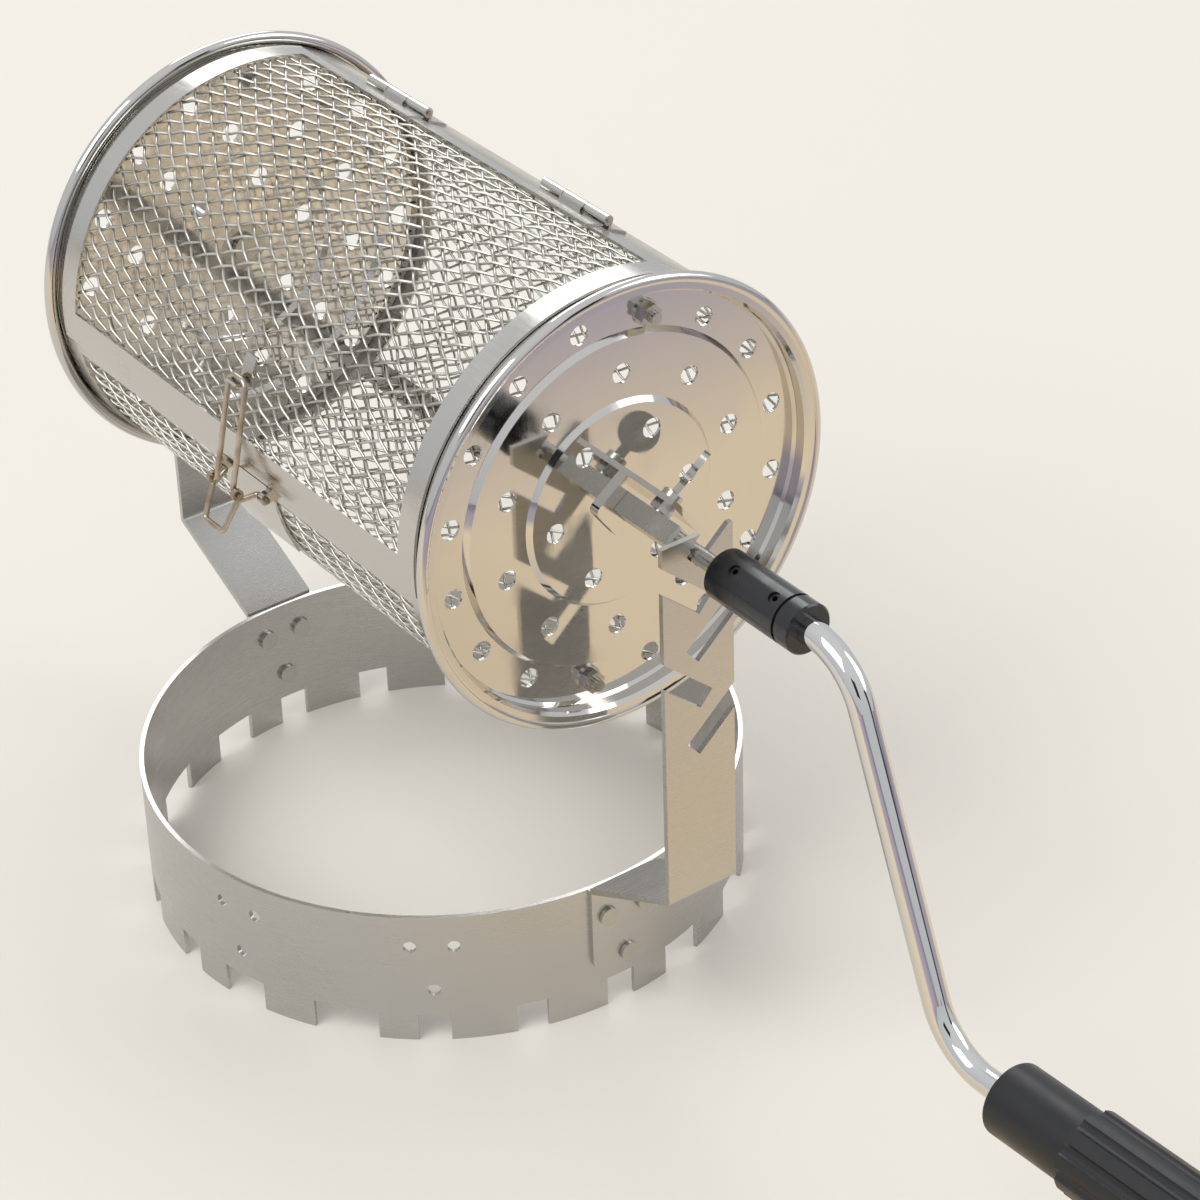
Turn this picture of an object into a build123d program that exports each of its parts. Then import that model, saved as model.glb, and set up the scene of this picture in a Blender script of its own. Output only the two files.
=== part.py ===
from build123d import *
from math import atan2, cos, degrees, hypot, radians, sin, tan
import os

# A hand cranked drum for roasting coffee beans over a hob. A mesh drum with a hinged door lies
# on two racks that stand on a notched ring, and a cranked rod with a grip turns it.
# Lengths are in millimetres and angles in degrees. +X runs along the drum towards the crank,
# +Z is up, and the door opens towards -Y. The origin is the centre of the ring's foot.
# "Turn" angles go round the drum's axis from +Z towards +Y.

os.makedirs("parts", exist_ok=True)

# ---------------------------------------------------------------- sizes
# ring
ring_radius = 109.0
ring_wall = 1.6
ring_height = 53.0
notch_height = 11.5
narrow_notch = 11.4
middle_notch = 18.0
wide_notch = 23.6
notch_turns = ((-1.0, narrow_notch), (-19.0, narrow_notch), (-37.0, narrow_notch),
               (-53.5, wide_notch), (-75.3, middle_notch))
spare_turns = (-75.2, -36.7)
rivet_spread = 4.0
rivet_upper_z = 40.5
rivet_lower_z = 22.0
rivet_shank_radius = 2.2
rivet_head_radius = 3.6
rivet_head_height = 1.5

# uprights and their height racks
sheet = 2.0
upright_width = 28.0
flange_foot_z = 17.0
flange_corner = 6.0
shelf_start_z = 52.0
fold_z = 74.0
plate_clear = 37.0
plate_top_z = 212.5
fold_radius = 1.6
slot_width = 7.4
slot_tilt = 41.0
slot_pitch = 18.0
slot_count = 5
slot_reach = 40.0

# drum
axis_z = 205.7
drum_length = 234.6
drum_middle_x = 1.4
frame_radius = 75.6
frame_sheet = 1.0
rim_overhang = 4.4
bead_radius = 2.0
disc_sheet = 1.0
outer_flat_depth = 7.04
middle_flat_depth = 5.05
inner_flat_depth = 3.35
outer_circle_inset = 10.7
outer_holes = 16
outer_first_turn = 11.8
outer_step_inset = 16.6
middle_circle_inset = 29.5
middle_holes = 10
middle_first_turn = 2.9
inner_step_radius = 36.0
inner_circle_radius = 26.4
inner_holes = 6
inner_first_turn = 27.8
step_run = 0.8
disc_hole_radius = 3.5
rear_disc_turn = 108.2
mesh_sheet = 0.6
band_width = 14.3
opening_low = -91.0
opening_high = 21.0
lower_strip = 12.0
upper_strip = 15.0
back_strip = 9.2
mesh_lap = 2.0

# door
door_gap = 0.3
door_sheet = 1.0
door_end_gap = 8.7
door_end_strip = 9.0
door_low = -95.5
window_low = -86.5
window_high = 17.5
door_high = 21.0
door_mesh_margin = 1.6

# hinges
hinge_turn = 23.0
hinge_offset = 51.0
hinge_length = 35.0
knuckle_radius = 1.8
knuckle_gap = 0.3
pin_radius = 0.8
pin_fit = 0.05
pin_stand = 0.6
leaf_sheet = 0.8
door_leaf_reach = 7.0
body_leaf_reach = 8.0

# disc fasteners
stud_radius = 2.0
stud_stand = 2.6
stud_head = 2.6
nut_across = 7.0
nut_height = 3.2
washer_radius = 4.5
washer_sheet = 0.8
lug_sheet = 1.2
lug_width = 12.0
lug_leg = 16.1
hole_fit = 0.1

# hub bracket and thumb screw, turned with the square bar
hub_turn = 36.0
foot_width = 18.0
foot_height = 17.5
foot_sheet = 2.0
foot_corner = 2.5
arm_length = 25.0
bar_side = 7.5
bar_reach = 26.3
bar_fit = 0.1
bar_chamfer = 1.0
screw_out = 11.3
screw_radius = 2.0
screw_fit = 0.05
screw_collar_radius = 3.6
screw_collar_length = 3.0
paddle_radius = 6.8
paddle_sheet = 2.4
paddle_far = 29.0
paddle_tilt = 43.0
clamp_nut_height = 2.6
tip_gap = 0.1

# shaft, sleeve and crank
shaft_radius = 3.0
seat_fit = 0.05
sleeve_clear = 13.7
sleeve_length = 41.0
sleeve_radius = 8.7
sleeve_groove = 0.6
sleeve_collar = 6.5
set_screw_turn = -28.0
set_screw_radius = 2.0
set_screw_sink = 0.9
set_screw_socket = 1.1
rod_radius = 4.5
rod_fit = 0.05
rod_insert = 17.0
shaft_insert = 20.0
rod_straight = 19.2
rod_slope_run = 49.4
second_bend_z = 84.7
rod_bend_radius = 25.0
grip_rise = 3.0
grip_start = 28.5
grip_collar_length = 34.0
grip_length = 112.0
grip_collar_radius = 12.4
grip_radius = 14.2
grip_bore_fit = 0.05
grip_flutes = 10
flute_radius = 2.6
grip_cap = 4.0
grip_edge = 1.0
rod_stub = 92.0
stop_radius = 6.0
stop_length = 2.0
stop_gap = 0.3

# rear journal
boss_radius = 9.0
boss_flange_radius = 13.0
boss_flange = 1.8
boss_length = 9.0
journal_head_radius = 5.0
journal_head = 2.0
journal_fit = 0.05
journal_overhang = 7.7

# latch
latch_x = 9.0
latch_wire = 1.0
latch_plate_low = -118.0
latch_plate_high = -96.5
latch_plate_half = 16.0
latch_plate_sheet = 0.8
bail_turn = -99.0
bail_eye_x = 13.6
bail_eye_width = 2.4
bail_stand = 2.1
bail_end_stand = 1.2
eye_wall = 1.0
latch_fit = 0.05
loop_half = 5.0
loop_pivot_turn = -97.6
loop_pivot_out = 6.3
loop_top_turn = -70.5
loop_top_stand = 3.1
loop_ring_x = 7.5
loop_ring_width = 1.8
arm_below_ring = 2.4
finger_half = 5.5
finger_out = 12.0
finger_drop = 12.0
keeper_width = 6.0
keeper_length = 10.0
keeper_sheet = 1.0
keeper_reach = 1.4
wire_bend = 1.3
loop_bend = 3.6

# ---------------------------------------------------------------- places that follow from them
rim_front_x = drum_middle_x + drum_length / 2
rim_rear_x = drum_middle_x - drum_length / 2
plate_face_x = drum_length / 2 + plate_clear
plate_back_x = plate_face_x - sheet
screw_x = rim_front_x + screw_out
bar_front_x = rim_front_x + bar_reach
sleeve_rear_x = plate_face_x + sleeve_clear
sleeve_front_x = sleeve_rear_x + sleeve_length
first_bend_x = sleeve_front_x + rod_straight
second_bend_x = first_bend_x + rod_slope_run
upright_half = upright_width / 2
rim_radius = frame_radius + rim_overhang
frame_inner = frame_radius - frame_sheet
door_inner = frame_radius + door_gap
door_outer = door_inner + door_sheet
band_inner_half = drum_length / 2 - band_width
band_outer_half = drum_length / 2 - 2 * bead_radius - hole_fit
mesh_half = band_inner_half + mesh_lap / 2
door_half = drum_length / 2 - door_end_gap
window_half = door_half - door_end_strip
outer_circle_radius = frame_radius - outer_circle_inset
middle_circle_radius = frame_radius - middle_circle_inset
outer_step_radius = frame_radius - outer_step_inset
lug_foot_radius = frame_inner - lug_leg
hinge_radius = door_outer + door_gap + knuckle_radius
back_turn = (opening_high + opening_low + 360) / 2
slot_along = (cos(radians(slot_tilt)), sin(radians(slot_tilt)))
slot_across = (-slot_along[1], slot_along[0])
seat_reach = shaft_radius + seat_fit
slot_corner = (-seat_reach * (slot_along[0] + slot_across[0]),
               axis_z - seat_reach * (slot_along[1] + slot_across[1]))
big = 2 * drum_length


def around(turn, radius):
    """The (y, z) of a point at a turn angle and radius about the drum's axis."""
    return radius * sin(radians(turn)), axis_z + radius * cos(radians(turn))


def arc_degrees(length, radius):
    """The angle that an arc of this length spans."""
    return degrees(length / radius)


def sheet_section(points, thickness):
    """The closed outline of a bent sheet: one face through the points, the other to its left."""
    normals = []
    for (a, b), (c, d) in zip(points, points[1:]):
        run = hypot(c - a, d - b)
        normals.append(((b - d) / run, (c - a) / run))
    far = []
    for i, (a, b) in enumerate(points):
        before = normals[max(i - 1, 0)]
        after = normals[min(i, len(normals) - 1)]
        share = thickness / (1 + before[0] * after[0] + before[1] * after[1])
        far.append((a + share * (before[0] + after[0]), b + share * (before[1] + after[1])))
    return points + far[::-1]


def shell(low, high, inner, outer, x_from, x_to, mode=Mode.ADD):
    """A piece of tube about the drum's axis between two turn angles."""
    middle = (low + high) / 2
    with BuildSketch(Plane.YZ.offset(min(x_from, x_to))) as section:
        with BuildLine():
            ThreePointArc(around(low, outer), around(middle, outer), around(high, outer))
            Line(around(high, outer), around(high, inner))
            ThreePointArc(around(high, inner), around(middle, inner), around(low, inner))
            Line(around(low, inner), around(low, outer))
        make_face()
    extrude(section.sketch, amount=abs(x_to - x_from), mode=mode)


def tube(inner, outer, x_from, x_to, mode=Mode.ADD):
    """A whole tube about the drum's axis."""
    with BuildSketch(Plane.YZ.offset(min(x_from, x_to))) as section:
        with Locations((0, axis_z)):
            Circle(outer)
            Circle(inner, mode=Mode.SUBTRACT)
    extrude(section.sketch, amount=abs(x_to - x_from), mode=mode)


def bar(x_from, x_to, radius, centre=(0, axis_z), mode=Mode.ADD):
    """A round bar along X, on the drum's axis or about another centre."""
    with BuildSketch(Plane.YZ.offset(min(x_from, x_to))) as section:
        with Locations(centre):
            Circle(radius)
    extrude(section.sketch, amount=abs(x_to - x_from), mode=mode)


def wire(points, radius, bend):
    """A bent round wire through points in space."""
    with BuildLine() as route:
        FilletPolyline(*points, radius=bend)
    with BuildSketch(Plane(origin=route.line @ 0, z_dir=route.line % 0)) as section:
        Circle(radius)
    sweep(section.sketch, path=route.line)


def save(piece, name):
    """Label a finished piece and write it."""
    piece.part.label = name
    export_step(piece.part, f"parts/{name}.step")


# ---------------------------------------------------------------- the ring
def rivet_places(turn):
    """The three rivet holes of one upright: (turn round the ring, height)."""
    return ((turn - rivet_spread, rivet_upper_z), (turn + rivet_spread, rivet_upper_z),
            (turn, rivet_lower_z))


def ring_plane(turn, radius, z):
    """A plane that faces outwards at a place on the ring."""
    out = (cos(radians(turn)), sin(radians(turn)), 0)
    return Plane(origin=(radius * out[0], radius * out[1], z), z_dir=out)


upright_turns = (0.0, 180.0)
hole_turns = upright_turns + tuple(t + half for t in spare_turns for half in upright_turns)

with BuildPart() as stand_ring:
    with BuildSketch():
        Circle(ring_radius)
        Circle(ring_radius - ring_wall, mode=Mode.SUBTRACT)
    extrude(amount=ring_height)
    for quarter in range(4):
        for turn, width in notch_turns:
            with BuildSketch():
                with PolarLocations(ring_radius, 1, start_angle=turn + 90 * quarter):
                    Rectangle(4 * ring_wall, width)
            extrude(amount=notch_height, mode=Mode.SUBTRACT)
    for turn in hole_turns:
        for place, z in rivet_places(turn):
            with BuildSketch(ring_plane(place, ring_radius - 2 * ring_wall, z)):
                Circle(rivet_shank_radius + hole_fit)
            extrude(amount=4 * ring_wall, mode=Mode.SUBTRACT)
save(stand_ring, "stand_ring")


# ---------------------------------------------------------------- the uprights
def upright(side):
    """A bent strip: a flange on the ring, a rising shelf and a plate with the height rack."""
    flange_outer = ring_radius + sheet
    with BuildPart() as piece:
        with BuildSketch(Plane.XY.offset(flange_foot_z)):
            Circle(flange_outer)
            Circle(ring_radius, mode=Mode.SUBTRACT)
            with Locations((side * ring_radius, 0)):
                Rectangle(ring_radius, upright_width, mode=Mode.INTERSECT)
        extrude(amount=ring_height - flange_foot_z)
        foot_edges = piece.edges().filter_by(
            lambda e: abs(abs(e.center().Y) - upright_half) < sheet
            and e.center().Z < flange_foot_z + 1 and e.length < 2 * sheet)
        fillet(foot_edges, flange_corner)
        with BuildSketch(Plane.XZ.offset(-upright_half)):
            with BuildLine():
                Polyline(*sheet_section([
                    (side * (ring_radius + sheet / 2), shelf_start_z),
                    (side * plate_face_x, fold_z),
                    (side * plate_face_x, plate_top_z)], side * sheet), close=True)
            make_face()
        extrude(amount=upright_width)
        with BuildSketch(Plane.XY):
            Circle(ring_radius)
        extrude(amount=plate_top_z, mode=Mode.SUBTRACT)
        fold_edges = piece.edges().filter_by(Axis.Y).filter_by(
            lambda e: abs(e.center().Z - fold_z) < 2 * sheet
            and abs(e.center().X) > plate_back_x - sheet)
        fillet(fold_edges, fold_radius)
        for step in range(slot_count):
            hand = 1 if step % 2 == 0 else -1
            y, z = slot_corner[0] * hand, slot_corner[1] - step * slot_pitch
            away = (slot_along[0] * hand, slot_along[1])
            up = (slot_across[0] * hand, slot_across[1])
            with BuildSketch(Plane.YZ.offset(side * plate_face_x - 2 * sheet)):
                with BuildLine():
                    Polyline((y, z), (y + slot_reach * away[0], z + slot_reach * away[1]),
                             (y + slot_reach * away[0] + slot_width * up[0],
                              z + slot_reach * away[1] + slot_width * up[1]),
                             (y + slot_width * up[0], z + slot_width * up[1]), close=True)
                make_face()
            extrude(amount=4 * sheet, mode=Mode.SUBTRACT)
        for place, z in rivet_places(0 if side > 0 else 180):
            with BuildSketch(ring_plane(place, ring_radius - ring_wall, z)):
                Circle(rivet_shank_radius + hole_fit)
            extrude(amount=sheet + 2 * ring_wall, mode=Mode.SUBTRACT)
    return piece


front_upright = upright(1)
save(front_upright, "front_upright")
rear_upright = upright(-1)
save(rear_upright, "rear_upright")

with BuildPart() as upright_rivets:
    inside = ring_radius - ring_wall - hole_fit
    outside = ring_radius + sheet + hole_fit
    for turn in upright_turns:
        for place, z in rivet_places(turn):
            with BuildSketch(ring_plane(place, inside - rivet_head_height, z)):
                Circle(rivet_head_radius)
            extrude(amount=rivet_head_height, taper=-rivet_head_height)
            with BuildSketch(ring_plane(place, inside, z)):
                Circle(rivet_shank_radius)
            extrude(amount=outside - inside)
            with BuildSketch(ring_plane(place, outside, z)):
                Circle(rivet_head_radius)
            extrude(amount=rivet_head_height, taper=rivet_head_height)
save(upright_rivets, "upright_rivets")


# ---------------------------------------------------------------- the end discs
def hole_turn(side, turn):
    """The rear disc is the same pressing turned over, so its holes run the other way."""
    return turn if side > 0 else rear_disc_turn - turn


def end_disc(side):
    """A stepped disc with air holes and a beaded rim, made as one turned sheet."""
    face_x = rim_front_x if side > 0 else rim_rear_x
    wall_outer = frame_inner
    wall_radius = wall_outer - disc_sheet
    bead_middle = rim_radius - bead_radius
    corner = outer_flat_depth - disc_sheet
    path = [(0, inner_flat_depth), (inner_step_radius - step_run, inner_flat_depth),
            (inner_step_radius + step_run, middle_flat_depth),
            (outer_step_radius - step_run, middle_flat_depth),
            (outer_step_radius + step_run, outer_flat_depth),
            (wall_radius - disc_sheet, outer_flat_depth), (wall_radius, corner),
            (wall_radius, bead_radius), (wall_radius + disc_sheet, disc_sheet / 2),
            (bead_middle, disc_sheet / 2)]
    outline = sheet_section(path, disc_sheet)
    with BuildPart() as piece:
        with BuildSketch(Plane.XZ) as profile:
            with BuildLine():
                Polyline(*[(face_x - side * d, r + axis_z) for r, d in outline], close=True)
            make_face()
            with Locations((face_x - side * bead_radius, bead_middle + axis_z)):
                Circle(bead_radius)
        revolve(axis=Axis((0, 0, axis_z), (1, 0, 0)))
        for radius, count, first in ((outer_circle_radius, outer_holes, outer_first_turn),
                                     (middle_circle_radius, middle_holes, middle_first_turn),
                                     (inner_circle_radius, inner_holes, inner_first_turn)):
            with BuildSketch(Plane.YZ.offset(face_x)):
                for i in range(count):
                    with Locations(around(hole_turn(side, first + 360 / count * i), radius)):
                        Circle(disc_hole_radius)
            extrude(amount=-side * 2 * outer_flat_depth, mode=Mode.SUBTRACT)
        if side > 0:
            with BuildSketch(Plane.YZ.offset(face_x)):
                with Locations(Location((0, axis_z), hub_turn)):
                    Rectangle(bar_side + 2 * bar_fit, bar_side + 2 * bar_fit)
            extrude(amount=-2 * outer_flat_depth, mode=Mode.SUBTRACT)
        else:
            with BuildSketch(Plane.YZ.offset(face_x)):
                with Locations((0, axis_z)):
                    Circle(boss_radius + hole_fit)
            extrude(amount=2 * outer_flat_depth, mode=Mode.SUBTRACT)
    return piece


front_disc = end_disc(1)
save(front_disc, "front_disc")
rear_disc = end_disc(-1)
save(rear_disc, "rear_disc")

# ---------------------------------------------------------------- the drum's body
mesh_low = opening_high + mesh_lap / 2
mesh_high = opening_low + 360 - mesh_lap / 2
lower_strip_end = opening_low + 360 - arc_degrees(lower_strip, frame_radius)
upper_strip_end = opening_high + arc_degrees(upper_strip, frame_radius)
back_half = arc_degrees(back_strip, frame_radius) / 2
strip_half = band_inner_half + mesh_lap

with BuildPart() as body_frame:
    for end in (-1, 1):
        tube(frame_inner, frame_radius, drum_middle_x + end * band_inner_half,
             drum_middle_x + end * band_outer_half)
    for low, high in ((opening_high, upper_strip_end),
                      (back_turn - back_half, back_turn + back_half),
                      (lower_strip_end, opening_low + 360)):
        shell(low, high, frame_inner, frame_radius, drum_middle_x - strip_half,
              drum_middle_x + strip_half)
save(body_frame, "body_frame")

with BuildPart() as body_mesh:
    shell(mesh_low, mesh_high, frame_inner - mesh_sheet, frame_inner, drum_middle_x - mesh_half,
          drum_middle_x + mesh_half)
save(body_mesh, "body_mesh")

# ---------------------------------------------------------------- the door
with BuildPart() as door_frame:
    shell(door_low, door_high, door_inner, door_outer, drum_middle_x - door_half,
          drum_middle_x + door_half)
    shell(window_low, window_high, door_inner - door_sheet, door_outer + door_sheet,
          drum_middle_x - window_half, drum_middle_x + window_half, mode=Mode.SUBTRACT)
save(door_frame, "door_frame")

door_mesh_half = window_half + door_mesh_margin
door_mesh_lap = arc_degrees(door_mesh_margin, door_inner)
with BuildPart() as door_mesh:
    shell(window_low - door_mesh_lap, window_high + door_mesh_lap, door_inner - mesh_sheet,
          door_inner, drum_middle_x - door_mesh_half, drum_middle_x + door_mesh_half)
save(door_mesh, "door_mesh")

# ---------------------------------------------------------------- the hinges
hinge_centre = around(hinge_turn, hinge_radius)
knuckle_length = (hinge_length - 2 * knuckle_gap) / 3
knuckle_step = knuckle_length + knuckle_gap
knuckle_arc = arc_degrees(knuckle_radius, hinge_radius)
hinge_starts = [drum_middle_x + side * hinge_offset - hinge_length / 2 for side in (-1, 1)]


def knuckle(x_from):
    """One barrel of a hinge, bored for its pin."""
    bar(x_from, x_from + knuckle_length, knuckle_radius, hinge_centre)
    bar(x_from, x_from + knuckle_length, pin_radius + pin_fit, hinge_centre, mode=Mode.SUBTRACT)


with BuildPart() as door_leaves:
    for start in hinge_starts:
        leaf_high = hinge_turn - knuckle_arc
        leaf_low = leaf_high - arc_degrees(door_leaf_reach, door_outer)
        shell(leaf_low, leaf_high, door_outer, door_outer + leaf_sheet, start, start + hinge_length)
        middle = start + knuckle_step
        shell(leaf_high - knuckle_arc / 2, leaf_high, door_outer, hinge_radius, middle,
              middle + knuckle_length)
        shell(leaf_high - knuckle_arc / 2, hinge_turn, hinge_radius - leaf_sheet, hinge_radius,
              middle, middle + knuckle_length)
        knuckle(middle)
save(door_leaves, "door_leaves")

with BuildPart() as body_leaves:
    for start in hinge_starts:
        leaf_low = hinge_turn + knuckle_arc / 2
        leaf_high = leaf_low + arc_degrees(body_leaf_reach, frame_radius)
        shell(leaf_low, leaf_high, frame_radius, frame_radius + leaf_sheet, start,
              start + hinge_length)
        for outer in (start, start + 2 * knuckle_step):
            shell(leaf_low, leaf_low + knuckle_arc / 2, frame_radius, hinge_radius, outer,
                  outer + knuckle_length)
            knuckle(outer)
save(body_leaves, "body_leaves")

with BuildPart() as hinge_pins:
    for start in hinge_starts:
        bar(start - pin_stand, start + hinge_length + pin_stand, pin_radius, hinge_centre)
save(hinge_pins, "hinge_pins")

# ---------------------------------------------------------------- lugs, studs, washers, nuts
stud_pitch = outer_circle_radius
front_studs = [(1, rim_front_x - outer_flat_depth, outer_first_turn + turn) for turn in (0, 180)]
rear_studs = [(-1, rim_rear_x + outer_flat_depth, hole_turn(-1, outer_first_turn + turn))
              for turn in (90, 270)]
stud_places = front_studs + rear_studs

with BuildPart() as frame_lugs:
    for side, x, turn in stud_places:
        back = x - side * disc_sheet
        half = arc_degrees(lug_width, frame_inner) / 2
        shell(turn - half, turn + half, lug_foot_radius, frame_inner, back,
              back - side * lug_sheet)
        shell(turn - half, turn + half, frame_inner - lug_sheet, frame_inner, back,
              drum_middle_x + side * (mesh_half + door_gap))
        bar(back, back - side * lug_sheet, stud_radius + hole_fit, around(turn, stud_pitch),
            mode=Mode.SUBTRACT)
save(frame_lugs, "frame_lugs")

with BuildPart() as disc_studs:
    for side, x, turn in stud_places:
        inner = x - side * (disc_sheet + lug_sheet)
        bar(inner - side * stud_head, inner, nut_across / 2, around(turn, stud_pitch))
        bar(inner, x + side * (washer_sheet + nut_height + stud_stand), stud_radius,
            around(turn, stud_pitch))
save(disc_studs, "disc_studs")

with BuildPart() as stud_washers:
    for side, x, turn in stud_places:
        outer = x + side * washer_sheet
        bar(x, outer, washer_radius, around(turn, stud_pitch))
        bar(x, outer, stud_radius + hole_fit, around(turn, stud_pitch), mode=Mode.SUBTRACT)
save(stud_washers, "stud_washers")

with BuildPart() as stud_nuts:
    for side, x, turn in stud_places:
        with BuildSketch(Plane.YZ.offset(x + side * washer_sheet)):
            with Locations(Location(around(turn, stud_pitch), turn)):
                RegularPolygon(nut_across / 2, 6, major_radius=False)
                Circle(stud_radius + pin_fit, mode=Mode.SUBTRACT)
        extrude(amount=side * nut_height)
save(stud_nuts, "stud_nuts")

# ---------------------------------------------------------------- the hub bracket
hub_x = rim_front_x - inner_flat_depth
wide = (cos(radians(hub_turn)), sin(radians(hub_turn)))
high = (-wide[1], wide[0])
arm_outer = foot_width / 2
arm_inner = arm_outer - foot_sheet


def hub(w, q):
    """The (y, z) of a point in the bracket's own turned axes."""
    return w * wide[0] + q * high[0], axis_z + w * wide[1] + q * high[1]


def hub_plane(w):
    """A plane across the thumb screw's axis, which crosses the drum's axis."""
    y, z = hub(w, 0)
    return Plane(origin=(screw_x, y, z), x_dir=(1, 0, 0), z_dir=(0, wide[0], wide[1]))


with BuildPart() as hub_bracket:
    with BuildSketch(Plane.YZ.offset(hub_x)):
        with BuildLine():
            half = foot_height / 2
            Polyline(hub(-arm_outer, -half), hub(arm_outer, -half), hub(arm_outer, half),
                     hub(-arm_outer, half), close=True)
        make_face()
    extrude(amount=foot_sheet)
    corners = hub_bracket.edges().filter_by(Axis.X).filter_by(
        lambda e: (e.center().Y * wide[0] + (e.center().Z - axis_z) * wide[1]) < 0)
    fillet(corners, foot_corner)
    with BuildSketch(Plane.YZ.offset(hub_x)):
        with BuildLine():
            Polyline(hub(arm_inner, -half), hub(arm_outer, -half), hub(arm_outer, half),
                     hub(arm_inner, half), close=True)
        make_face()
    extrude(amount=arm_length)
    with BuildSketch(Plane.YZ.offset(hub_x)):
        with Locations(Location((0, axis_z), hub_turn)):
            Rectangle(bar_side + 2 * bar_fit, bar_side + 2 * bar_fit)
    extrude(amount=foot_sheet, mode=Mode.SUBTRACT)
    with BuildSketch(hub_plane(arm_inner - foot_sheet)):
        Circle(screw_radius + screw_fit)
    extrude(amount=3 * foot_sheet, mode=Mode.SUBTRACT)
save(hub_bracket, "hub_bracket")

with BuildPart() as clamp_nut:
    with BuildSketch(hub_plane(arm_inner - clamp_nut_height)):
        RegularPolygon(nut_across / 2, 6, major_radius=False)
        Circle(screw_radius + screw_fit, mode=Mode.SUBTRACT)
    extrude(amount=clamp_nut_height)
save(clamp_nut, "clamp_nut")

collar_seat = arm_outer + tip_gap
neck_start = collar_seat + screw_collar_length - tip_gap
paddle_middle = paddle_far - paddle_radius
with BuildPart() as thumb_screw:
    with BuildSketch(hub_plane(bar_side / 2 + tip_gap)):
        Circle(screw_radius)
    extrude(amount=collar_seat - bar_side / 2 - tip_gap)
    with BuildSketch(hub_plane(collar_seat)):
        Circle(screw_collar_radius)
    extrude(amount=screw_collar_length)
    chamfer(thumb_screw.edges().filter_by(GeomType.CIRCLE).sort_by(SortBy.RADIUS)[-2:], tip_gap * 4)
    paddle_face = Plane(origin=(screw_x, 0, axis_z), x_dir=(0, wide[0], wide[1]),
                        z_dir=(cos(radians(paddle_tilt)), -high[0] * sin(radians(paddle_tilt)),
                               -high[1] * sin(radians(paddle_tilt))))
    with BuildSketch(paddle_face.offset(-paddle_sheet / 2)):
        with Locations((paddle_middle, 0)):
            Circle(paddle_radius)
        with Locations(((neck_start + paddle_middle) / 2, 0)):
            Rectangle(paddle_middle - neck_start, screw_collar_radius)
    extrude(amount=paddle_sheet)
save(thumb_screw, "thumb_screw")

# ---------------------------------------------------------------- the drive bar, sleeve and screws
shaft_end_x = sleeve_rear_x + shaft_insert
with BuildPart() as drive_bar:
    with BuildSketch(Plane.YZ.offset(hub_x - disc_sheet)):
        with Locations(Location((0, axis_z), hub_turn)):
            Rectangle(bar_side, bar_side)
    extrude(amount=bar_front_x - hub_x + disc_sheet)
    chamfer(drive_bar.faces().sort_by(Axis.X)[-1].edges(), bar_chamfer)
    bar(bar_front_x, shaft_end_x, shaft_radius)
save(drive_bar, "drive_bar")

rod_end_x = sleeve_front_x - rod_insert
groove_x = sleeve_front_x - sleeve_collar
sleeve_screw_xs = (sleeve_rear_x + shaft_insert / 2, groove_x - rod_insert / 2 + sleeve_collar / 2)


def sleeve_plane(x, radius):
    """A plane that faces outwards on the sleeve, where its set screws are."""
    y, z = around(set_screw_turn, radius)
    return Plane(origin=(x, y, z), x_dir=(1, 0, 0),
                 z_dir=(0, sin(radians(set_screw_turn)), cos(radians(set_screw_turn))))


with BuildPart() as crank_sleeve:
    bar(sleeve_rear_x, sleeve_front_x, sleeve_radius)
    chamfer(crank_sleeve.edges().filter_by(GeomType.CIRCLE), sleeve_groove)
    bar(sleeve_rear_x, sleeve_front_x, shaft_radius + rod_fit, mode=Mode.SUBTRACT)
    bar(rod_end_x - tip_gap, sleeve_front_x, rod_radius + rod_fit, mode=Mode.SUBTRACT)
    tube(sleeve_radius - sleeve_groove, 2 * sleeve_radius, groove_x - 2 * sleeve_groove, groove_x,
         mode=Mode.SUBTRACT)
    for x in sleeve_screw_xs:
        with BuildSketch(sleeve_plane(x, 0)):
            Circle(set_screw_radius + pin_fit)
        extrude(amount=2 * sleeve_radius, mode=Mode.SUBTRACT)
save(crank_sleeve, "crank_sleeve")

with BuildPart() as sleeve_screws:
    for x, start in zip(sleeve_screw_xs, (shaft_radius, rod_radius)):
        low = start + tip_gap
        with BuildSketch(sleeve_plane(x, low)):
            Circle(set_screw_radius)
        extrude(amount=sleeve_radius - set_screw_sink - low)
        with BuildSketch(sleeve_plane(x, sleeve_radius - set_screw_sink)):
            RegularPolygon(set_screw_socket, 6)
        extrude(amount=-set_screw_radius, mode=Mode.SUBTRACT)
save(sleeve_screws, "sleeve_screws")

# ---------------------------------------------------------------- the crank rod and grip
grip_along = (cos(radians(grip_rise)), sin(radians(grip_rise)))
rod_tip = grip_start + rod_stub


def grip_point(distance):
    """A point on the grip's axis, at a distance past the second bend's corner."""
    return second_bend_x + distance * grip_along[0], 0, second_bend_z + distance * grip_along[1]


def grip_plane(distance):
    """A plane across the grip's axis."""
    return Plane(origin=grip_point(distance), x_dir=(0, 1, 0),
                 z_dir=(grip_along[0], 0, grip_along[1]))


with BuildPart() as crank_rod:
    wire([(rod_end_x, 0, axis_z), (first_bend_x, 0, axis_z),
          (second_bend_x, 0, second_bend_z), grip_point(rod_tip)], rod_radius, rod_bend_radius)
save(crank_rod, "crank_rod")

with BuildPart() as rod_stop:
    with BuildSketch(grip_plane(rod_tip)):
        Circle(stop_radius)
    extrude(amount=stop_length)
save(rod_stop, "rod_stop")

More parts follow.
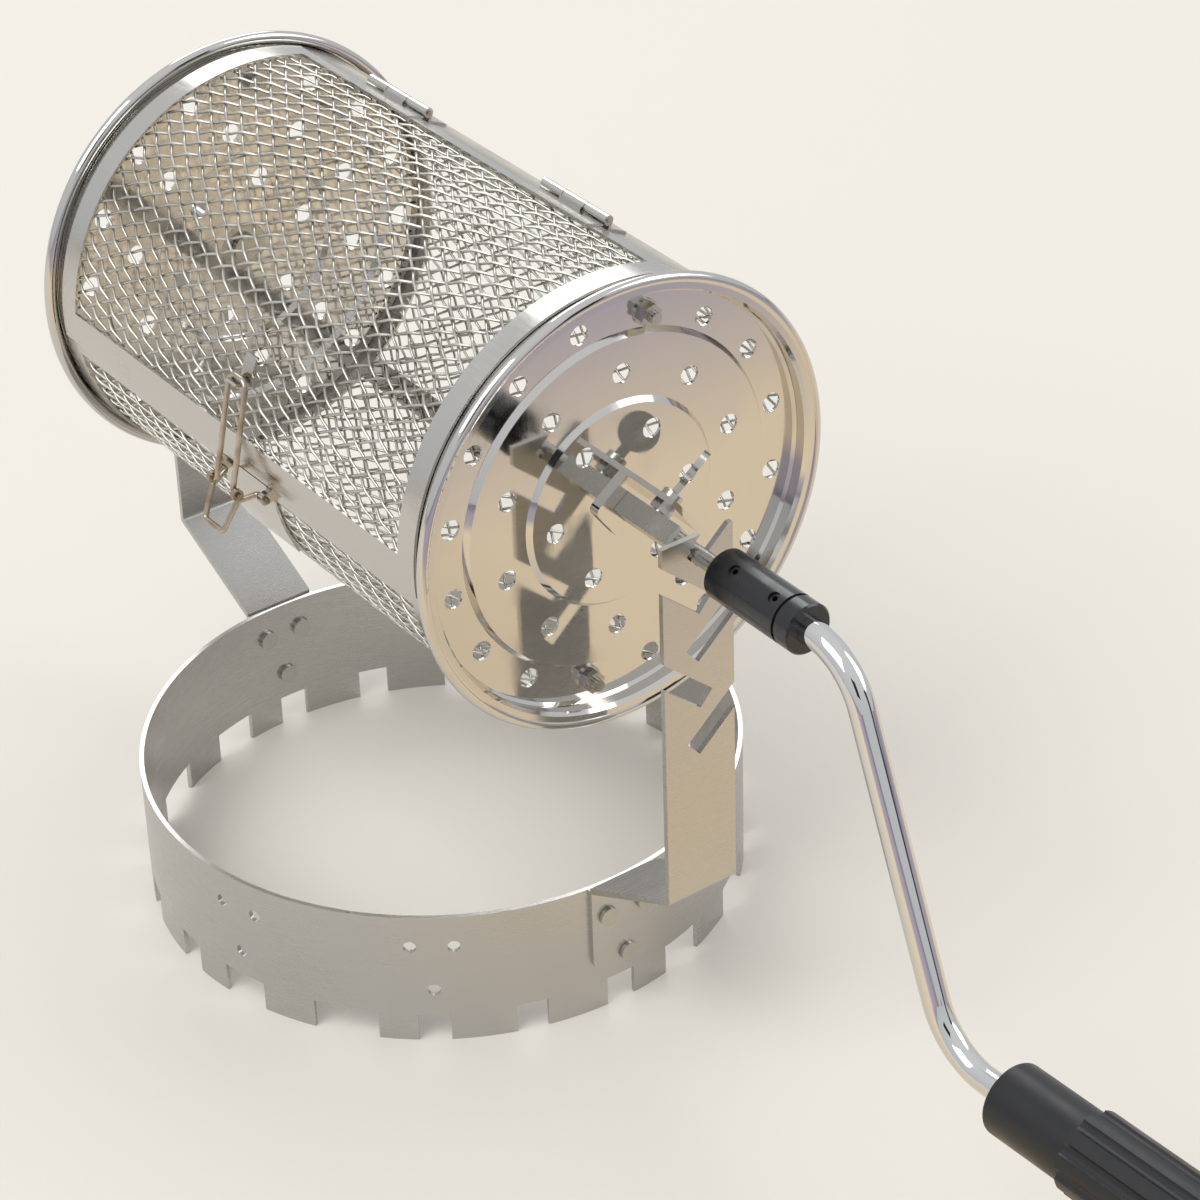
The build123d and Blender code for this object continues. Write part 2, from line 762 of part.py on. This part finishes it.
grip_body = grip_length - grip_collar_length - grip_cap
with BuildPart() as grip:
    with BuildSketch(grip_plane(grip_start)):
        Circle(grip_collar_radius)
    extrude(amount=grip_collar_length)
    with BuildSketch(grip_plane(grip_start + grip_collar_length)):
        Circle(grip_radius)
        with PolarLocations(grip_radius + flute_radius / 2, grip_flutes):
            Circle(flute_radius, mode=Mode.SUBTRACT)
    extrude(amount=grip_body)
    with BuildSketch(grip_plane(grip_start + grip_length - grip_cap)):
        Circle(grip_radius)
    extrude(amount=grip_cap)
    ends = grip.edges().filter_by(GeomType.CIRCLE).sort_by(Axis.X)
    fillet([ends[0], ends[-1]], grip_edge)
    with BuildSketch(grip_plane(grip_start)):
        Circle(rod_radius + grip_bore_fit)
    extrude(amount=rod_stub, mode=Mode.SUBTRACT)
    with BuildSketch(grip_plane(rod_tip - stop_gap)):
        Circle(stop_radius + stop_gap)
    extrude(amount=stop_length + 2 * stop_gap, mode=Mode.SUBTRACT)
save(grip, "grip")

# ---------------------------------------------------------------- the rear journal
rear_flat_x = rim_rear_x + inner_flat_depth
boss_inner_x = rear_flat_x + disc_sheet
head_x = boss_inner_x + stop_gap
with BuildPart() as rear_boss:
    bar(rear_flat_x - boss_length, boss_inner_x, boss_radius)
    bar(rear_flat_x - boss_flange, rear_flat_x, boss_flange_radius)
    bar(rear_flat_x - boss_length, boss_inner_x, shaft_radius + journal_fit, mode=Mode.SUBTRACT)
save(rear_boss, "rear_boss")

with BuildPart() as rear_journal:
    bar(-plate_face_x - journal_overhang, head_x, shaft_radius)
    bar(head_x, head_x + journal_head, journal_head_radius)
save(rear_journal, "rear_journal")

# ---------------------------------------------------------------- the latch
plate_outer = frame_radius + latch_plate_sheet
bail_radius = plate_outer + bail_stand
bail_y, bail_z = bail_centre = around(bail_turn, bail_radius)
loop_y, loop_z = loop_centre = around(loop_pivot_turn, bail_radius + loop_pivot_out)
loop_top_radius = door_outer + loop_top_stand
top_y, top_z = around(loop_top_turn, loop_top_radius)
eye_radius = latch_wire + latch_fit + eye_wall
eye_spread = arc_degrees(eye_radius, bail_radius)

with BuildPart() as latch_plate:
    shell(latch_plate_low, latch_plate_high, frame_radius, plate_outer,
          latch_x - latch_plate_half, latch_x + latch_plate_half)
    for side in (-1, 1):
        near = latch_x + side * bail_eye_x - bail_eye_width / 2
        far = near + bail_eye_width
        shell(bail_turn - eye_spread, bail_turn + eye_spread, frame_radius, bail_radius, near, far)
        bar(near, far, eye_radius, bail_centre)
        bar(near, far, latch_wire + latch_fit, bail_centre, mode=Mode.SUBTRACT)
save(latch_plate, "latch_plate")

bail_end = bail_eye_x + bail_eye_width / 2 + bail_end_stand
bail_start = bail_eye_x - bail_eye_width / 2 - bail_end_stand - wire_bend
arm_z = loop_z - arm_below_ring
finger_y, finger_z = bail_y - finger_out, bail_z - finger_drop
with BuildPart() as latch_bail:
    wire([(latch_x + bail_end, bail_y, bail_z), (latch_x + bail_start, bail_y, bail_z),
          (latch_x + loop_ring_x, loop_y, arm_z), (latch_x + finger_half, finger_y, finger_z),
          (latch_x - finger_half, finger_y, finger_z), (latch_x - loop_ring_x, loop_y, arm_z),
          (latch_x - bail_start, bail_y, bail_z), (latch_x - bail_end, bail_y, bail_z)],
         latch_wire, wire_bend)
    for side in (-1, 1):
        near = latch_x + side * loop_ring_x - loop_ring_width / 2
        far = near + loop_ring_width
        bar(near, far, eye_radius, loop_centre)
        bar(near, far, latch_wire + latch_fit, loop_centre, mode=Mode.SUBTRACT)
save(latch_bail, "latch_bail")

loop_end = loop_ring_x + loop_ring_width
with BuildPart() as latch_loop:
    wire([(latch_x + loop_end, loop_y, loop_z), (latch_x + loop_half, loop_y, loop_z),
          (latch_x + loop_half, top_y, top_z), (latch_x - loop_half, top_y, top_z),
          (latch_x - loop_half, loop_y, loop_z), (latch_x - loop_end, loop_y, loop_z)],
         latch_wire, (wire_bend, loop_bend, loop_bend, wire_bend))
save(latch_loop, "latch_loop")

# The keeper stands on the door's mesh: its tongue lies under the loop's top bar.
tongue_high = loop_top_turn - arc_degrees(latch_wire + stop_gap, loop_top_radius)
tongue_low = tongue_high - arc_degrees(keeper_sheet, loop_top_radius)
with BuildPart() as latch_keeper:
    shell(tongue_low, tongue_low + arc_degrees(keeper_length, door_inner), door_inner,
          door_inner + keeper_sheet, latch_x - keeper_width / 2, latch_x + keeper_width / 2)
    shell(tongue_low, tongue_high, door_inner, loop_top_radius + latch_wire + keeper_reach,
          latch_x - keeper_width / 2, latch_x + keeper_width / 2)
save(latch_keeper, "latch_keeper")
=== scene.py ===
# %% [markdown]
# # A hand cranked drum for roasting coffee beans over a hob
# The metal parts come from the fixed frame: the notched ring, its two racks, the stepped end
# discs, the drum's sheet straps, the door, the latch, the crank and the grip. They are seen here
# in their real finishes. The drum's skin is woven wire, which the frame only holds as a thin
# shell, so the wires are made in this file, one by one, on their true slant.
# Everything is in metres, in the frame's own axes: +X along the drum towards the crank, +Z up.

from math import radians

import bpy
import numpy as np
from mathutils import Matrix, Vector


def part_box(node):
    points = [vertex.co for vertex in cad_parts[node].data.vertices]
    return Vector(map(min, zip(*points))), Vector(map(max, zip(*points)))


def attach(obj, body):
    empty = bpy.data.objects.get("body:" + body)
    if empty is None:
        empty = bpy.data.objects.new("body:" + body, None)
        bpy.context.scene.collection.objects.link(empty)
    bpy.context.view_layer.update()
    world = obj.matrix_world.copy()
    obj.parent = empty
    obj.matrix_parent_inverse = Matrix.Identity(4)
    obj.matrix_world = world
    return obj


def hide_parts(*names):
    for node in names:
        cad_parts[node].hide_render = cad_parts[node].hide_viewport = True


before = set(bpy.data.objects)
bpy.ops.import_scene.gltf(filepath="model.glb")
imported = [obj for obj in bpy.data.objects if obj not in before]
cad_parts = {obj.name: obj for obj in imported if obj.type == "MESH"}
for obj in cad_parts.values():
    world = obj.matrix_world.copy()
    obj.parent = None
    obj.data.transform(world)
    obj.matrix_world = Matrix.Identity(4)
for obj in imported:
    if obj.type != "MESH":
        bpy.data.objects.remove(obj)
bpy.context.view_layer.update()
print("pieces loaded:", len(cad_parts))

# %% [markdown]
# ## The drum's measures
# The weave follows the drum: the height of its axis, the radius where each mesh lies and the turn
# angles between which it lies, counted from straight up towards the back. How far each mesh
# reaches along the drum is read from the boxes of the mesh shells.
# The mesh is a square weave that was pulled askew before it was rolled, as the photograph shows:
# one set of wires climbs at 28 degrees to the drum's axis and the other falls at 32 degrees.

# %% Measures of the weave
MM = 0.001
AXIS_Z = 205.7 * MM
WIRE = 1.0 * MM
BODY_RADIUS, DOOR_RADIUS = 74.6 * MM, 75.9 * MM
BODY_TURNS = radians(22.6), radians(267.4)
DOOR_TURNS = radians(-87.2), radians(18.2)
EDGE = 0.4 * MM
RISE, FALL = radians(27.9), radians(-31.9)
RISE_PITCH, FALL_PITCH = 4.97 * MM, 5.27 * MM
RISE_START, FALL_START = -52.05 * MM, -22.77 * MM
door_low, door_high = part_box("door_mesh")
body_low, body_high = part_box("body_mesh")
print("door mesh from x", round(door_low.x, 4), "to", round(door_high.x, 4))


# %% [markdown]
# ## One wire of a weave
# A woven wire dips under one neighbour and rides over the next, so its distance from the drum's
# axis is a cosine of where it stands between the wires that it crosses. Two sets in opposite
# step touch at each crossing and never meet. The function lays a whole set at once: straight
# slanting lines on the unrolled sheet, cut where they leave it, then rolled round the axis.

# %% Function: a set of woven wires
def mesh_object(name, vertices, faces, smooth=True):
    """A mesh object from arrays of vertices (n, 3) and quad faces (m, 4)."""
    mesh = bpy.data.meshes.new(name)
    mesh.vertices.add(len(vertices))
    mesh.vertices.foreach_set("co", vertices.astype(np.float32).ravel())
    mesh.loops.add(faces.size)
    mesh.loops.foreach_set("vertex_index", faces.astype(np.int32).ravel())
    mesh.polygons.add(len(faces))
    mesh.polygons.foreach_set("loop_start", np.arange(len(faces), dtype=np.int32) * faces.shape[1])
    mesh.update(calc_edges=True)
    mesh.validate()
    mesh.polygons.foreach_set("use_smooth", np.full(len(faces), smooth))
    made = bpy.data.objects.new(name, mesh)
    bpy.context.scene.collection.objects.link(made)
    return made


def woven_set(name, sheet, slant, pitch, start, other, over, sides=7, step=1.25 * MM):
    """One set of wires of a plain weave rolled round the drum's axis.

    sheet is (x low, x high, turn low, turn high, radius). On the unrolled sheet, with s = radius *
    turn, wire k is the line n.(x, s) = start + k * pitch, where n is square to the slant. Its
    distance from the axis is radius + over * (WIRE / 2) * cos(pi * (u + k)), where u counts the
    wires of the other set that it has crossed. A point at turn t stands at y = r sin t and
    z = AXIS_Z + r cos t."""
    x_low, x_high, turn_low, turn_high, radius = sheet
    along = np.array([np.cos(slant), np.sin(slant)])
    normal = np.array([-np.sin(slant), np.cos(slant)])
    corners = np.array([[x, radius * t] for x in (x_low, x_high) for t in (turn_low, turn_high)])
    reach = corners @ normal
    first, last = int(np.ceil((reach.min() - start) / pitch)), int((reach.max() - start) // pitch)
    other_slant, other_pitch, other_start = other
    other_normal = np.array([-np.sin(other_slant), np.cos(other_slant)])
    vertices, faces, count = [], [], 0
    ring = np.arange(sides) * 2 * np.pi / sides
    for k in range(first, last + 1):
        foot = normal * (start + k * pitch)
        bounds = [sorted(((low - f) / d, (high - f) / d)) for f, d, low, high in (
            (foot[0], along[0], x_low, x_high),
            (foot[1], along[1], radius * turn_low, radius * turn_high))]
        low, high = max(b[0] for b in bounds), min(b[1] for b in bounds)
        if high - low < 2 * pitch:
            continue
        t = np.linspace(low, high, max(3, int((high - low) / step)))
        flat = foot + t[:, None] * along
        crossed = (flat @ other_normal - other_start) / other_pitch
        r = radius + over * WIRE / 2 * np.cos(np.pi * (crossed + k))
        turn = flat[:, 1] / radius
        path = np.stack([flat[:, 0], r * np.sin(turn), AXIS_Z + r * np.cos(turn)], 1)
        tangent = np.gradient(path, axis=0)
        tangent /= np.linalg.norm(tangent, axis=1, keepdims=True)
        out = np.stack([np.zeros_like(turn), np.sin(turn), np.cos(turn)], 1)
        side = np.cross(tangent, out)
        side /= np.linalg.norm(side, axis=1, keepdims=True)
        up = np.cross(side, tangent)
        circle = (side[:, None] * np.cos(ring)[None, :, None]
                  + up[:, None] * np.sin(ring)[None, :, None]) * WIRE / 2
        vertices.append((path[:, None] + circle).reshape(-1, 3))
        i, j = np.meshgrid(np.arange(len(t) - 1), np.arange(sides), indexing="ij")
        nxt = (j + 1) % sides
        faces.append((count + np.stack([i * sides + j, i * sides + nxt, (i + 1) * sides + nxt,
                                        (i + 1) * sides + j], -1)).reshape(-1, 4))
        count += len(t) * sides
    made = mesh_object(name, np.concatenate(vertices), np.concatenate(faces))
    print(name, "wires", len(vertices), "faces", len(made.data.polygons))
    return made


# %% [markdown]
# ## Weaving the body and the door
# The body's mesh covers the back of the drum, from the hinge strap round to the latch strap. The
# door's mesh covers its window. Each gets two sets of wires, one over where the other is under.

# %% The body's and the door's wire mesh
sheets = {
    "body": (body_low.x + EDGE, body_high.x - EDGE, *BODY_TURNS, BODY_RADIUS - WIRE),
    "door": (door_low.x + EDGE, door_high.x - EDGE, *DOOR_TURNS, DOOR_RADIUS - WIRE),
}
rise = (RISE, RISE_PITCH, RISE_START)
fall = (FALL, FALL_PITCH, FALL_START)
wires = []
for part, sheet in sheets.items():
    for which, mine, other, over in (("rising", rise, fall, 1), ("falling", fall, rise, -1)):
        made = woven_set(f"{part}_{which}_wires", sheet, *mine, other, over)
        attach(made, "drum" if part == "body" else "door")
        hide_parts(f"{part}_mesh")
        wires.append(made)

# %% [markdown]
# ## Finishes
# Colours are written as the eye names them, in sRGB, and turned to the linear values that light
# uses. A finish is a small net of nodes: a base metal or plastic, and patterns in the object's
# own coordinates, sized in real millimetres, that change how rough it is or tilt its surface.

# %% Functions: colours and nodes
def lin(code):
    """A linear colour from an sRGB hex code: ((c + 0.055) / 1.055) ** 2.4 above 0.04045."""
    parts = [int(code[i:i + 2], 16) / 255 for i in (1, 3, 5)]
    return tuple(c / 12.92 if c <= 0.04045 else ((c + 0.055) / 1.055) ** 2.4 for c in parts) + (1,)


def add(tree, kind, links=None, **settings):
    """Add a node, set its properties or inputs by name, and link sockets to its inputs."""
    made = tree.nodes.new(kind)
    for key, value in settings.items():
        if hasattr(made, key):
            setattr(made, key, value)
        else:
            made.inputs[key.replace("_", " ")].default_value = value
    for key, source in (links or {}).items():
        tree.links.new(source, made.inputs[key])
    return made


def finish(name, colour, metallic, roughness, coat=0.0):
    """A new material with a Principled surface. Returns its tree, shader and object coordinates."""
    made = bpy.data.materials.new(name)
    made.use_nodes = True
    tree = made.node_tree
    tree.nodes.clear()
    surface = add(tree, "ShaderNodeBsdfPrincipled", Base_Color=lin(colour), Metallic=metallic,
                  Roughness=roughness)
    surface.inputs["Coat Weight"].default_value = coat
    add(tree, "ShaderNodeOutputMaterial", {"Surface": surface.outputs["BSDF"]})
    place = add(tree, "ShaderNodeTexCoord").outputs["Object"]
    return made, tree, surface, place


def stretch(tree, place, scale):
    """Coordinates times a scale per axis: a noise becomes grain along the axis scaled least."""
    made = add(tree, "ShaderNodeVectorMath", {0: place}, operation="MULTIPLY")
    made.inputs[1].default_value = scale
    return made.outputs[0]


def noise(tree, place, scale, detail=3.0):
    """A noise value; scale counts its lumps per metre."""
    return add(tree, "ShaderNodeTexNoise", {"Vector": place}, Scale=scale, Detail=detail).outputs[0]


def between(tree, value, low, high, to_low, to_high):
    """A value moved from one range to another."""
    return add(tree, "ShaderNodeMapRange", {"Value": value}, From_Min=low, From_Max=high,
               To_Min=to_low, To_Max=to_high).outputs[0]


def two_patterns(tree, surface, first, second):
    """The surface's roughness as the sum of two patterns: roughness = first + second."""
    rough = add(tree, "ShaderNodeMath", {0: first, 1: second}, operation="ADD")
    tree.links.new(rough.outputs[0], surface.inputs["Roughness"])


def bump(tree, surface, height, distance, strength=1.0):
    """Tilt the surface by a height pattern whose full range is this many metres."""
    made = add(tree, "ShaderNodeBump", {"Height": height}, Strength=strength, Distance=distance)
    tree.links.new(made.outputs["Normal"], surface.inputs["Normal"])


# %% [markdown]
# ### Rolled stainless sheet
# The ring and racks are cut from cold rolled sheet, which keeps a fine satin grain from the rolls.
# It gives soft reflections, drawn out level, with a few broad handling marks.

# %% Satin sheet steel
satin, tree, surface, place = finish("rolled stainless sheet", "#c6c4c0", 1.0, 0.3)
grain = noise(tree, stretch(tree, place, (45, 45, 5200)), 1.0, 2.0)
smears = noise(tree, place, 14.0, 3.0)
two_patterns(tree, surface, between(tree, grain, 0.3, 0.7, 0.23, 0.29),
             between(tree, smears, 0.4, 0.75, 0.0, 0.06))
bump(tree, surface, grain, 0.00001, 0.2)

# %% [markdown]
# ### Mirror polished pressings
# The end discs are buffed before they are pressed, so they mirror the room, bent by the steps.
# Faint wipe marks and greasy fingerprints break the mirror, and it is never quite flat.

# %% Polished pressings
polished, tree, surface, place = finish("polished stainless pressing", "#d6d3ce", 1.0, 0.06)
prints = noise(tree, place, 55.0, 5.0)
wipes = noise(tree, stretch(tree, place, (300, 900, 120)), 1.0, 2.0)
two_patterns(tree, surface, between(tree, prints, 0.5, 0.72, 0.045, 0.17),
             between(tree, wipes, 0.4, 0.8, 0.0, 0.05))
bump(tree, surface, noise(tree, place, 16.0, 1.0), 0.0012, 0.25)

# %% [markdown]
# ### Straps, hinge and latch
# The drum's straps and the door's frame are thin bright strip, less polished than the discs. The
# latch is drawn wire with a warm tint from the heat of the hob.

# %% Bright strip and drawn wire
strip, tree, surface, place = finish("bright strip steel", "#cfccc6", 1.0, 0.2)
grain = noise(tree, stretch(tree, place, (90, 1500, 1500)), 1.0, 2.0)
smears = noise(tree, place, 60.0, 4.0)
two_patterns(tree, surface, between(tree, grain, 0.3, 0.7, 0.12, 0.24),
             between(tree, smears, 0.45, 0.75, 0.0, 0.14))
bump(tree, surface, grain, 0.00002, 0.3)

drawn, tree, surface, place = finish("drawn wire with heat tint", "#b9ab95", 1.0, 0.22)
tint = add(tree, "ShaderNodeValToRGB", {"Fac": noise(tree, place, 120.0, 2.0)})
tint.color_ramp.elements[0].color = lin("#a8957c")
tint.color_ramp.elements[0].position = 0.35
tint.color_ramp.elements[1].color = lin("#c9c2b4")
tint.color_ramp.elements[1].position = 0.65
tree.links.new(tint.outputs["Color"], surface.inputs["Base Color"])
bump(tree, surface, noise(tree, place, 1800.0, 2.0), 0.00003, 0.3)

# %% [markdown]
# ### Woven wire
# Mesh wire is drawn and left bright, but it tarnishes in patches, so its tone and its shine drift
# over the drum.

# %% Mesh wire
weave, tree, surface, place = finish("bright woven wire", "#cbc8c0", 1.0, 0.26)
patches = noise(tree, place, 45.0, 3.0)
shade = add(tree, "ShaderNodeValToRGB", {"Fac": patches})
shade.color_ramp.elements[0].color = lin("#b9b6ad")
shade.color_ramp.elements[0].position = 0.35
shade.color_ramp.elements[1].color = lin("#d5d2ca")
shade.color_ramp.elements[1].position = 0.65
tree.links.new(shade.outputs["Color"], surface.inputs["Base Color"])
tree.links.new(between(tree, patches, 0.3, 0.7, 0.2, 0.34), surface.inputs["Roughness"])

# %% [markdown]
# ### Screws, nuts and the drive bar
# Turned and milled steel: finer than the sheet, with rings from the tool.

# %% Machined steel
machined, tree, surface, place = finish("machined steel", "#c2bfb8", 1.0, 0.2)
rings = noise(tree, stretch(tree, place, (2600, 300, 300)), 1.0, 2.0)
tree.links.new(between(tree, rings, 0.3, 0.7, 0.12, 0.3), surface.inputs["Roughness"])
bump(tree, surface, rings, 0.00003, 0.4)

# %% [markdown]
# ### Chrome rod
# The crank is a plated rod: the smoothest surface here, a sharp mirror with hairline rubs.

# %% Chrome plate
chrome, tree, surface, place = finish("chrome plated rod", "#dedddb", 1.0, 0.05)
rubs = noise(tree, stretch(tree, place, (500, 500, 60)), 1.0, 3.0)
tree.links.new(between(tree, rubs, 0.5, 0.8, 0.04, 0.14), surface.inputs["Roughness"])

# %% [markdown]
# ### Black sleeve and grip
# The sleeve is glossy black with soft edges. The grip is moulded plastic with a fine matt skin,
# which shows broad soft highlights along its flutes, and a little more shine where hands rub it.

# %% Blacks
gloss, tree, surface, place = finish("glossy black sleeve", "#131315", 0.0, 0.2, coat=0.35)
surface.inputs["Coat Roughness"].default_value = 0.08
tree.links.new(between(tree, noise(tree, place, 160.0, 3.0), 0.3, 0.7, 0.16, 0.32),
               surface.inputs["Roughness"])
moulded, tree, surface, place = finish("moulded black plastic", "#17171a", 0.0, 0.38)
tree.links.new(between(tree, noise(tree, place, 60.0, 3.0), 0.3, 0.7, 0.3, 0.46),
               surface.inputs["Roughness"])
bump(tree, surface, noise(tree, place, 2600.0, 2.0), 0.00004, 0.35)

# %% [markdown]
# ## Dressing the pieces
# Each piece gets its finish by name, and keeps its shape as the frame has it.

# %% Give each piece its finish
finishes = {
    satin: ["stand_ring", "front_upright", "rear_upright"],
    polished: ["front_disc", "rear_disc", "hub_bracket"],
    strip: ["body_frame", "door_frame", "door_leaves", "body_leaves", "frame_lugs", "latch_plate",
            "latch_keeper"],
    drawn: ["latch_bail", "latch_loop", "hinge_pins"],
    machined: ["upright_rivets", "disc_studs", "stud_washers", "stud_nuts", "clamp_nut",
               "thumb_screw", "drive_bar", "rod_stop", "rear_boss", "rear_journal"],
    gloss: ["crank_sleeve", "sleeve_screws"],
    chrome: ["crank_rod"],
    moulded: ["grip"],
    weave: ["body_mesh", "door_mesh"],
}
for material, names in finishes.items():
    for name in names:
        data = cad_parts[name].data
        data.materials.clear()
        data.materials.append(material)
for made in wires:
    made.data.materials.append(weave)
print("finishes given to", sum(len(names) for names in finishes.values()), "pieces")


# %% [markdown]
# ## Stage
# A plain pale floor under pale surroundings. Polished steel shows what stands around it, so the
# steel, and only the steel, sees the floor in other tones: grey close by, then warm like a wooden
# bench, then cool beyond the bench's edge. One large soft light hangs in front and above, two
# more fill from behind, and two dark cards, which only the steel sees, give it dark streaks.

# %% Floor, surroundings and lights
def card(name, centre, normal, width, height):
    """A flat rectangle of this size, facing along normal."""
    turn = Vector(normal).to_track_quat("Z", "Y").to_matrix()
    half = np.array([[-1, -1], [1, -1], [1, 1], [-1, 1]]) * (width / 2, height / 2)
    points = np.array([list(turn @ Vector((x, y, 0)) + Vector(centre)) for x, y in half])
    return mesh_object(name, points, np.array([[0, 1, 2, 3]]), smooth=False)


FLOOR_TONE = "#dcd7ce"
BENCH_NEAR, BENCH_EDGE = 0.10, 0.54
floor_finish, tree, surface, place = finish("pale floor", FLOOR_TONE, 0.0, 0.6)
surface.inputs["Specular IOR Level"].default_value = 0.0
along_x = add(tree, "ShaderNodeSeparateXYZ", {0: place}).outputs[0]
mirrored = add(tree, "ShaderNodeValToRGB", {
    "Fac": between(tree, along_x, BENCH_NEAR, BENCH_EDGE, 0.0, 1.0)})
mirrored.color_ramp.elements[0].color = lin("#d2cdc6")
mirrored.color_ramp.elements[1].color = lin("#a8a2af")
for at in (0.35, 0.66):
    mirrored.color_ramp.elements.new(at).color = lin("#e2d0b4")
floor_colour = add(tree, "ShaderNodeMixRGB", {
    "Fac": add(tree, "ShaderNodeLightPath").outputs["Is Glossy Ray"],
    "Color2": mirrored.outputs["Color"]}, Color1=lin(FLOOR_TONE))
tree.links.new(floor_colour.outputs["Color"], surface.inputs["Base Color"])
FLOOR_SIZE = 14
floor = card("floor", (0, 0, 0), (0, 0, 1), FLOOR_SIZE, FLOOR_SIZE)
floor.data.materials.append(floor_finish)

dark_finish = finish("dark card", "#1c1b22", 0.0, 0.8)[0]
dark_cards = [card("dark_card_behind_camera", (1.9, -1.2, 1.35), (-0.68, 0.49, -0.45), 0.7, 0.9),
              card("dark_card_right", (1.45, 0.55, 0.45), (-0.93, -0.36, 0.0), 0.28, 0.9)]
for dark in dark_cards:
    dark.data.materials.append(dark_finish)
    dark.visible_camera = False
    dark.visible_shadow = False
    dark.visible_diffuse = False


def soft_light(name, centre, target, size, power, colour="#ffffff"):
    """A square area light that faces a point."""
    data = bpy.data.lights.new(name, "AREA")
    data.shape, data.size, data.energy = "SQUARE", size, power
    data.color = lin(colour)[:3]
    made = bpy.data.objects.new(name, data)
    made.location = centre
    made.rotation_mode = "QUATERNION"
    made.rotation_quaternion = (Vector(target) - Vector(centre)).to_track_quat("-Z", "Y")
    bpy.context.scene.collection.objects.link(made)
    return made


soft_light("key", (0.2, -1.6, 2.2), (0.1, 0, 0.1), 1.6, 34)
soft_light("fill", (1.2, 1.8, 1.6), (0.1, 0, 0.1), 1.4, 12)
soft_light("back", (-1.6, 0.9, 1.5), (0.1, 0, 0.1), 1.2, 12)

world = bpy.data.worlds.new("surroundings")
world.use_nodes = True
bpy.context.scene.world = world
tree = world.node_tree
tree.nodes.clear()
rays = add(tree, "ShaderNodeLightPath")
sky = add(tree, "ShaderNodeTexCoord").outputs["Generated"]
height = add(tree, "ShaderNodeSeparateXYZ", {0: sky}).outputs[2]
shade = add(tree, "ShaderNodeValToRGB", {"Fac": between(tree, height, -0.2, 1.0, 0.0, 1.0)})
shade.color_ramp.elements[0].color = lin("#d9dce2")
shade.color_ramp.elements[1].color = lin("#f4f6f8")
lit = add(tree, "ShaderNodeBackground", {"Color": shade.outputs["Color"]}, Strength=0.85)
seen = add(tree, "ShaderNodeBackground", Color=lin("#eef1f3"), Strength=1.0)
both = add(tree, "ShaderNodeMixShader", {0: rays.outputs["Is Camera Ray"],
                                        1: lit.outputs[0], 2: seen.outputs[0]})
add(tree, "ShaderNodeOutputWorld", {"Surface": both.outputs[0]})

# %% [markdown]
# ## Camera
# The photograph was taken from above the crank's end of the drum, close, with a long lens. The
# camera stands at the same place: 54 degrees round from the front, 33 degrees above the floor,
# rolled by 2 degrees.

# %% Camera at the photograph's angle
def camera_axes(azimuth, elevation, roll):
    """The camera's right, up and back vectors from its angles in degrees."""
    a, e, r = (radians(v) for v in (azimuth, elevation, roll))
    back = np.array([np.sin(a) * np.cos(e), -np.cos(a) * np.cos(e), np.sin(e)])
    right = np.array([np.cos(a), np.sin(a), 0.0])
    up = np.cross(back, right)
    return (np.cos(r) * right + np.sin(r) * up, -np.sin(r) * right + np.cos(r) * up, back)


CAMERA_ANGLES = 54.39, 33.21, -1.89
CAMERA_PLACE = 0.9404, -0.6010, 0.8374
data = bpy.data.cameras.new("camera")
data.sensor_width, data.lens = 36.0, 112.9
data.clip_start, data.clip_end = 0.05, 50
camera = bpy.data.objects.new("camera", data)
bpy.context.scene.collection.objects.link(camera)
right, up, back = camera_axes(*CAMERA_ANGLES)
camera.matrix_world = Matrix([*zip(right, up, back, CAMERA_PLACE), (0, 0, 0, 1)])
scene = bpy.context.scene
scene.camera = camera
scene.view_settings.view_transform = "Standard"
